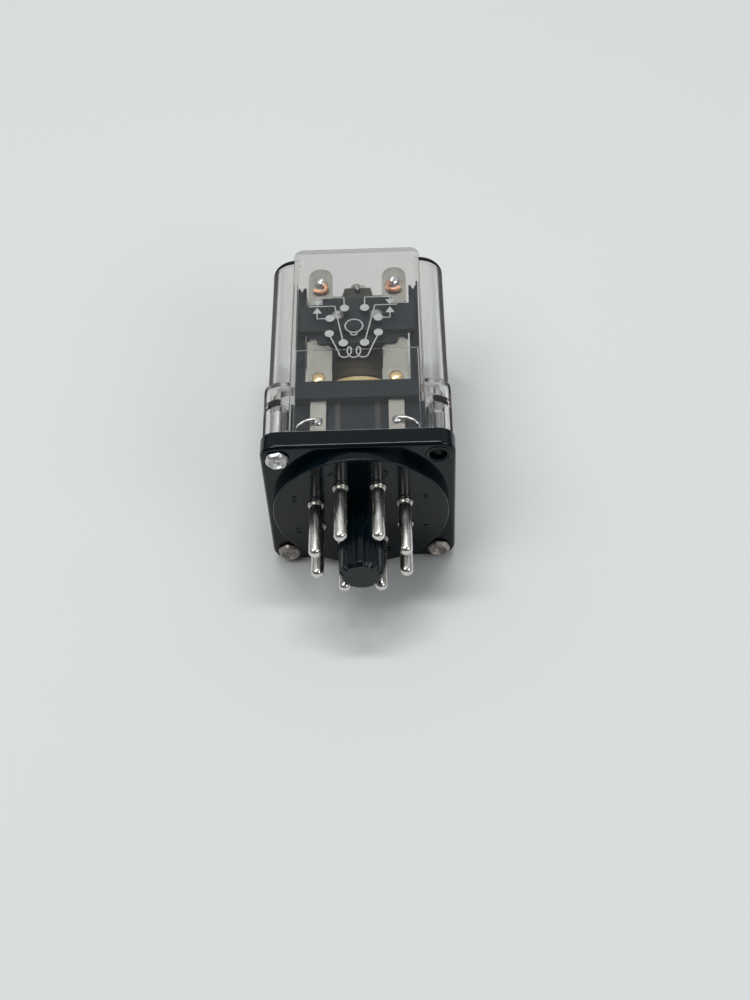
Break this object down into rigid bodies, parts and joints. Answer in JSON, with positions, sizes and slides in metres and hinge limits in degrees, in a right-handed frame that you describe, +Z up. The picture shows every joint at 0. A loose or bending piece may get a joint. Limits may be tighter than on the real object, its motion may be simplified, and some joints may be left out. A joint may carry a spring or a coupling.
{
  "type": "plug-in relay",
  "caption": "Plug-in power relay: a keyed octal pin base, a clear rectangular cover, and the coil, armature and changeover contacts inside.",
  "frame": {"origin": "centre of the relay's length and width, on the plane of the base flange's lower edge", "axes": "+Y from the pins to the far end of the cover, +Z up from the key side of the base to the side with the fixed front contacts, +X to the right as seen from the pins"},
  "size_m": [0.0346, 0.0652, 0.0346],
  "materials": {
    "base_phenolic": "gloss",
    "pin_nickel": "satin",
    "rivet_steel": "satin",
    "cover_polycarbonate": "clear",
    "block_phenolic": "matt",
    "screw_steel": "satin",
    "frame_steel": "satin",
    "core_iron": "satin",
    "nut_brass": "satin",
    "ring_copper": "satin",
    "bobbin_nylon": "matt",
    "winding_tape": "gloss",
    "terminal_tin": "satin",
    "contact_gold": "satin",
    "lead_sleeve": "matt",
    "wire_tin": "satin",
    "braid_copper": "matt",
    "armature_steel": "satin",
    "card_phenolic": "matt",
    "spring_steel": "satin",
    "card_rivet_brass": "satin",
    "blade_bronze": "satin"
  },
  "bodies": {
    "relay": {"base": "base_phenolic", "pin_1": "pin_nickel", "pin_2": "pin_nickel", "pin_3": "pin_nickel", "pin_4": "pin_nickel", "pin_5": "pin_nickel", "pin_6": "pin_nickel", "pin_7": "pin_nickel", "pin_8": "pin_nickel", "cover_rivet_1": "rivet_steel", "cover_rivet_2": "rivet_steel", "cover_rivet_3": "rivet_steel", "clear_cover": "cover_polycarbonate", "contact_block": "block_phenolic", "block_screw_front": "screw_steel", "block_screw_back": "screw_steel", "frame": "frame_steel", "core": "core_iron", "core_nut": "nut_brass", "shading_ring": "ring_copper", "bobbin": "bobbin_nylon", "coil_winding": "winding_tape", "nc_terminal_left": "terminal_tin", "no_terminal_left": "terminal_tin", "nc_contact_left": "contact_gold", "no_contact_left": "contact_gold", "coil_lead_left": "lead_sleeve", "nc_wire_left": "wire_tin", "no_wire_left": "wire_tin", "pigtail_left": "braid_copper", "nc_terminal_right": "terminal_tin", "no_terminal_right": "terminal_tin", "nc_contact_right": "contact_gold", "no_contact_right": "contact_gold", "coil_lead_right": "lead_sleeve", "nc_wire_right": "wire_tin", "no_wire_right": "wire_tin", "pigtail_right": "braid_copper"},
    "armature": {"armature": "armature_steel", "insulating_card": "card_phenolic", "return_spring": "spring_steel", "card_rivet_left": "card_rivet_brass", "moving_blade_left": "blade_bronze", "moving_contact_left": "contact_gold", "card_rivet_right": "card_rivet_brass", "moving_blade_right": "blade_bronze", "moving_contact_right": "contact_gold"}
  },
  "joints": [
    {"name": "armature_hinge", "type": "hinge", "parent": "relay", "child": "armature", "pos_m": [0, 0.02242, 0.0061], "axis": [1, 0, 0], "range_deg": [0, 3.2], "stiffness_Nm_per_rad": 0.02, "springref_deg": -11.46}
  ]
}
